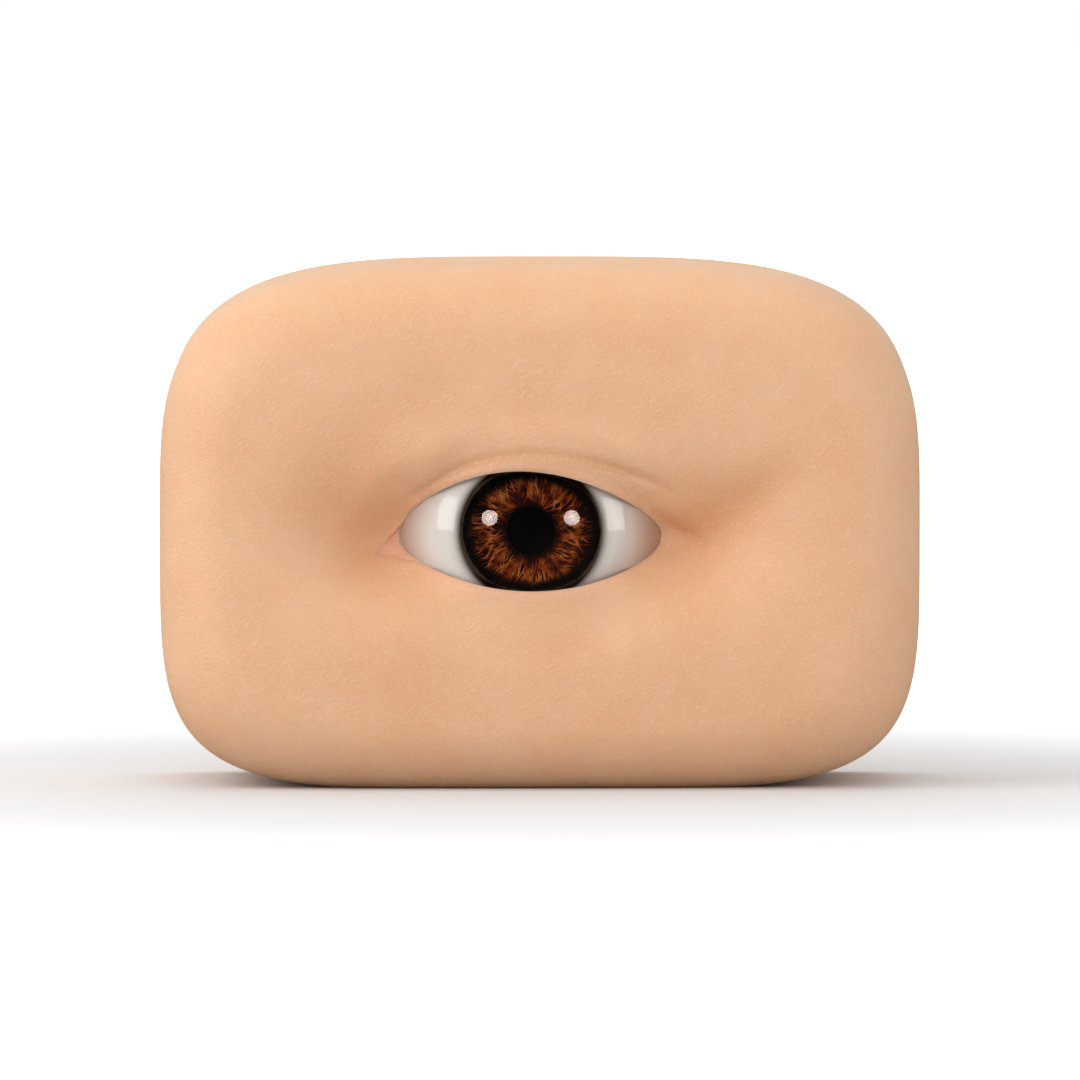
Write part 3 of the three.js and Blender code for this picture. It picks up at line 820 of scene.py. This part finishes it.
# the dark rim is real, and its earlier darkening above and below is painted shade of the lids
in_oval = vector_calc(tree, "LENGTH", vector_calc(tree, "MULTIPLY", from_eye, (1, 0, 1.2)))
rim_and_lid_shade = ranged(tree, in_oval, rim_band[0] * MM, rim_band[1] * MM, soft=True)
tree.links.new(blended(tree, rim_and_lid_shade, browns, "#120a07"), shader.inputs["Base Color"])
shader.inputs["Roughness"].default_value = 0.5
shader.inputs["Specular IOR Level"].default_value = wetted

strands = strand_tree()
layers = [
    {"Strands": 130, "First Start": 2.12, "Last Start": 2.6, "First End": 5.2, "Last End": 6.4, "Sway": 2.6,
     "Sway Scale": 2.2, "Thickness": 0.17, "Tone": 0.66, "Seed": 3},
    {"Strands": 100, "First Start": 2.4, "Last Start": 3.8, "First End": 4.6, "Last End": 6.3, "Sway": 3.4,
     "Sway Scale": 2.5, "Thickness": 0.17, "Tone": 0.9, "Seed": 11},
    {"Strands": 60, "First Start": 2.3, "Last Start": 3.2, "First End": 3.4, "Last End": 5.0, "Sway": 2.2,
     "Sway Scale": 3.4, "Thickness": 0.11, "Tone": 1.1, "Seed": 27},
]
eye_place = Matrix.Translation(Vector((eye_x, eye_y + iris_edge_y, eye_z)) * MM)
strand_points = 26
ground_tone = 0.06  # of the dark ground that shows between the strands
shared = {"Points": strand_points, "Hole": iris_hole, "Rim": iris_radius, "Dish": iris_dish}
shared["Material"] = paint
work = bmesh.new()
work.from_mesh(iris.data)
tone_layer = work.verts.layers.float.new("tone")
for vertex in work.verts:
    vertex[tone_layer] = ground_tone
for layer in layers:
    carrier = bpy.data.objects.new("strands", bpy.data.meshes.new("strands"))
    bpy.context.scene.collection.objects.link(carrier)
    laying = carrier.modifiers.new("strands", "NODES")
    laying.node_group = strands
    for item in strands.interface.items_tree:
        if item.in_out == "INPUT":
            value = {**shared, **layer}[item.name]
            laying[item.identifier] = value * MM if item.name in strand_lengths else value
    bpy.context.view_layer.update()
    ready = carrier.evaluated_get(bpy.context.evaluated_depsgraph_get())
    made = bpy.data.meshes.new_from_object(ready)
    made.transform(eye_place)
    work.from_mesh(made)
    bpy.data.objects.remove(carrier)
work.to_mesh(iris.data)
work.free()
iris.data.polygons.foreach_set("use_smooth", [True] * len(iris.data.polygons))
iris.data.materials.clear()
iris.data.materials.append(paint)
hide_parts("iris_disc")
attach(iris, "eyeball")

# Cornea
# A clear dome of cast and polished acrylic, steeper than the ball, with a spigot that fills the cup down to
# the iris. It was poured in, so no air is left between.
bonded = 0.05  # the resin wets the iris and the cup, by this much
back_middle = iris_edge_y + iris_dish + bonded
back_edge = iris_edge_y + bonded
rim_radius = limbus_radius - pressed  # the rim's feather edge meets the ball
cornea = turned(
    "cornea",
    [
        (0, back_middle),
        (iris_hole, back_middle),
        (cup_inner + bonded, back_edge),
        (cup_inner + bonded, cup_rim_y + bonded),
        (rim_radius, cup_rim_y + bonded),
        *arc(cornea_radius, -cornea_centre, math.asin(rim_radius / cornea_radius), 0, 64),
    ],
)
# Clear cast acrylic, polished. To the eye: clear glass with hard highlights, that magnifies the iris a bit.
clear, tree, shader, _ = material("clear_cast_acrylic")
shader.inputs["Base Color"].default_value = colour("#fbfcfc")
shader.inputs["Roughness"].default_value = 0.0
shader.inputs["IOR"].default_value = 1.49
shader.inputs["Transmission Weight"].default_value = 1.0
see_through = add(tree, "ShaderNodeBsdfTransparent", {}, {"Color": colour("#f2f2f2")})
mixed = add(
    tree,
    "ShaderNodeMixShader",
    {},
    {
        0: add(tree, "ShaderNodeLightPath").outputs["Is Shadow Ray"],
        1: shader.outputs[0],
        2: see_through.outputs[0],
    },
)
tree.links.new(mixed.outputs[0], tree.nodes["Material Output"].inputs["Surface"])
cornea.data.materials.append(clear)
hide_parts("cornea")
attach(cornea, "eyeball")

# Rear plug
# A silicone plug, cast in the pad's colour, with a cup for the ball in front, a flange in the pad's
# counterbore and two finger recesses beside a grip bar.
plug_seat_gap = 0.2
plug_lip = 8
flange_thickness = 2.5
grip_radius = 11.5
grip_bar = 5
grip_depth = 2.2
cup_reach = ball_radius + socket_gap
shank = bore_radius - plug_gap
lip_bevel = 0.8
plug_back = back_y - eye_y - plug_seat_gap
flange_front = plug_back - flange_thickness + plug_seat_gap
plug = turned(
    "rear_plug",
    [
        *arc(cup_reach, 0, math.pi, math.pi - math.acos(plug_lip / cup_reach), 24),
        (shank - lip_bevel, plug_lip),
        (shank, plug_lip + lip_bevel),
        (shank, flange_front),
        (flange_radius, flange_front),
        (flange_radius, plug_back - lip_bevel / 2),
        (flange_radius - lip_bevel / 2, plug_back),
        (0, plug_back),
    ],
)
for sign in (1, -1):
    start = math.asin(grip_bar / 2 / grip_radius)
    bend = np.linspace(start, math.pi - start, 49)
    edge = np.stack([grip_radius * np.cos(bend), sign * grip_radius * np.sin(bend)], axis=1)
    work = bmesh.new()
    floor_y = eye_y + plug_back - grip_depth
    rim = [work.verts.new(((x + eye_x) * MM, floor_y * MM, (z + eye_z) * MM)) for x, z in edge]
    face = work.faces.new(rim)
    raised = bmesh.ops.extrude_face_region(work, geom=[face])
    lifted = [item for item in raised["geom"] if isinstance(item, bmesh.types.BMVert)]
    bmesh.ops.translate(work, verts=lifted, vec=(0, 2 * grip_depth * MM, 0))
    bmesh.ops.recalc_face_normals(work, faces=work.faces)
    cutter_mesh = bpy.data.meshes.new("grip recess")
    work.to_mesh(cutter_mesh)
    work.free()
    cutter = bpy.data.objects.new("grip recess", cutter_mesh)
    bpy.context.scene.collection.objects.link(cutter)
    cut = plug.modifiers.new("recess", "BOOLEAN")
    cut.object = cutter
    cut.solver = "EXACT"
    bpy.context.view_layer.update()
    ready = plug.evaluated_get(bpy.context.evaluated_depsgraph_get())
    carved = bpy.data.meshes.new_from_object(ready)
    plug.modifiers.clear()
    plug.data = carved
    bpy.data.objects.remove(cutter)
plug.data.name = "rear_plug"
plug.data.polygons.foreach_set("use_smooth", [True] * len(plug.data.polygons))
plug.data.set_sharp_from_angle(angle=math.radians(30))
plug.data.materials.clear()

# Cast silicone, from a plain mould. To the eye: the pad's peach without its folds' painted shade, evenly
# matt.
plain_skin, tree, shader, place = material("cast_silicone_plain")
tint = blended(tree, noise(tree, place, 7, 4), "#e7b48c", "#dca37a")
tree.links.new(tint, shader.inputs["Base Color"])
shader.inputs["Roughness"].default_value = 0.55
shader.inputs["IOR"].default_value = 1.41
shader.inputs["Subsurface Weight"].default_value = 0.3
shader.inputs["Subsurface Radius"].default_value = (1.0, 0.45, 0.25)
shader.inputs["Subsurface Scale"].default_value = 1.2 * MM
matt = noise(tree, place, 0.4, 3)
bump = add(tree, "ShaderNodeBump", {}, {"Height": matt, "Strength": 0.3, "Distance": 0.05 * MM})
tree.links.new(bump.outputs[0], shader.inputs["Normal"])
plug.data.materials.append(plain_skin)
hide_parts("rear_plug")
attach(plug, "plug")

# Table and lights
# A seamless white table, a large softbox from above on the left, soft fills in front and on the right, a
# light behind and one at the left edge. Round lamps and windows stand in the eye as reflections. For
# mirrored rays the room is dark in front of the pad, since the photographed pupil is black.
table_mesh = bpy.data.meshes.new("table")
reach = 8
table_corners = [(-reach, -reach, 0), (reach, -reach, 0), (reach, reach, 0), (-reach, reach, 0)]
table_mesh.from_pydata(table_corners, [], [(0, 1, 2, 3)])
table = bpy.data.objects.new("table", table_mesh)
bpy.context.scene.collection.objects.link(table)
# White laminate. To the eye: a matt white with the pad's soft shadow, deepened near the pad by painted
# shadow, that runs out into the room.
white_table, tree, shader, place = material("white_laminate")
tree.nodes.remove(shader)
path = add(tree, "ShaderNodeLightPath").outputs
# painted shadow: the glow that whitens the floor for the camera sets in only away from the pad
far = ranged(tree, vector_calc(tree, "LENGTH", place), 0.05, 0.24, soft=True)
glow = add(tree, "ShaderNodeEmission", {}, {"Strength": calc(tree, "MULTIPLY", path["Is Camera Ray"], far)})
bright = blended(tree, path["Is Camera Ray"], "#d4d4d4", "#eaeaea")
dim = blended(tree, path["Is Glossy Ray"], bright, "#181818")
matt_white = add(tree, "ShaderNodeBsdfDiffuse", {}, {"Color": dim})
both = add(tree, "ShaderNodeAddShader", {}, {0: matt_white.outputs[0], 1: glow.outputs[0]})
tree.links.new(both.outputs[0], tree.nodes["Material Output"].inputs["Surface"])
table_mesh.materials.append(white_table)

world = bpy.data.worlds.new("white studio")
bpy.context.scene.world = world
world.use_nodes = True
tree = world.node_tree
room = tree.nodes["Background"]
path = add(tree, "ShaderNodeLightPath").outputs
room_light = 0.62
mirrored_room = (0.01, 0.6)  # what mirrored rays find in front of the pad and behind it
looking = add(tree, "ShaderNodeSeparateXYZ", {}, {0: add(tree, "ShaderNodeTexCoord").outputs["Generated"]})
mirrored = ranged(tree, looking.outputs["Y"], -0.1, 0.3, *mirrored_room)
strength = ranged(tree, path["Is Camera Ray"], 0, 1, room_light, 1.0)
strength = ranged(tree, path["Is Glossy Ray"], 0, 1, strength, mirrored)
tree.links.new(strength, room.inputs["Strength"])
room.inputs["Color"].default_value = (1, 1, 1, 1)

aim = Vector((eye_x, eye_y, eye_z)) * MM


def lamp(name, size, power, azimuth, elevation, distance, tint="#ffffff"):
    """An oval area lamp that looks at the eye from an azimuth off the front and an elevation, in degrees."""
    data = bpy.data.lights.new(name, "AREA")
    data.shape = "ELLIPSE"
    data.size, data.size_y = size
    data.energy = power
    data.color = colour(tint)[:3]
    lamp_object = bpy.data.objects.new(name, data)
    bpy.context.scene.collection.objects.link(lamp_object)
    a, e = math.radians(azimuth), math.radians(elevation)
    towards = Vector((math.sin(a) * math.cos(e), -math.cos(a) * math.cos(e), math.sin(e)))
    lamp_object.location = aim + towards * distance
    lamp_object.rotation_euler = towards.to_track_quat("Z", "Y").to_euler()
    return lamp_object


softbox = lamp("softbox", (1.2, 1.2), 5.9, -62, 34, 1.2)
softbox_eye = lamp("softbox on the eye", (1.2, 1.2), 5.9, -62, 34, 1.2)
softbox_eye.visible_glossy = False
lamp("front fill", (1.0, 1.0), 2.8, 0, 26, 1.2).visible_glossy = False
lamp("side fill", (0.8, 0.8), 1.2, 78, 20, 1.2).visible_glossy = False
lamp("back light", (0.9, 0.9), 2.6, 180, 66, 1.2).visible_glossy = False

# The softbox gives the skin a sheen and the eye none, the round lamps' reflections stand in the cornea, and
# those of the two windows stand on the white.
on_white = bpy.data.collections.new("white of the eye")
off_white = bpy.data.collections.new("all but the white")
on_skin = bpy.data.collections.new("skin and table")
on_eye = bpy.data.collections.new("eye")
for piece in (front_half, back_half):
    on_white.objects.link(piece)
for piece in (pad, cornea, iris, cup, pupil, plug):
    off_white.objects.link(piece)
for piece in (pad, plug, table):
    on_skin.objects.link(piece)
for piece in (front_half, back_half, cornea, iris, cup, pupil):
    on_eye.objects.link(piece)
edge_light = lamp("edge light", (1, 1), 1.3, -105, 15, 1.2)
for light, receivers in ((softbox, on_skin), (edge_light, on_skin), (softbox_eye, on_eye)):
    light.light_linking.receiver_collection = receivers
for side in (-1, 1):
    round_lamp = lamp("round lamp", (0.222, 0.178), 1.25, 50 * side, 12.7, 0.62, "#fff4f0")
    lamp_core = lamp("lamp core", (0.08, 0.066), 0.085, 50 * side, 12.7, 0.61, "#fff4f0")
    window = lamp("window", (0.18, 0.24), 0.5, 70 * side, 9, 0.62)
    window.data.shape = "RECTANGLE"
    for light, receivers in ((round_lamp, off_white), (lamp_core, off_white), (window, on_white)):
        light.visible_diffuse = False
        light.light_linking.receiver_collection = receivers

# Camera
# A long lens in front of the pad, a little above it, looking slightly down.
camera_data = bpy.data.cameras.new("camera")
camera = bpy.data.objects.new("camera", camera_data)
bpy.context.scene.collection.objects.link(camera)
bpy.context.scene.camera = camera
camera_distance = 1.4
camera_height = math.radians(2.5)
photo_width = 1080
pad_pixels = 760  # width of the pad in the photograph
scaled_width = 78  # and what that width is taken as, in millimetres
shift_pixels = -19  # how far the pad stands off the middle of the photograph
sight = Vector((0, 0, pad_height / 2 * MM))
towards = Vector((0, -math.cos(camera_height), math.sin(camera_height)))
camera.location = sight + towards * camera_distance
camera.rotation_euler = towards.to_track_quat("Z", "Y").to_euler()
frame_width = scaled_width * MM * photo_width / pad_pixels
camera_data.sensor_width = 36
camera_data.lens = camera_data.sensor_width * camera_distance / frame_width
camera_data.shift_y = shift_pixels / photo_width
camera_data.clip_start = 0.05
camera_data.clip_end = 50

bpy.context.scene.view_settings.view_transform = "Standard"

bpy.context.view_layer.update()
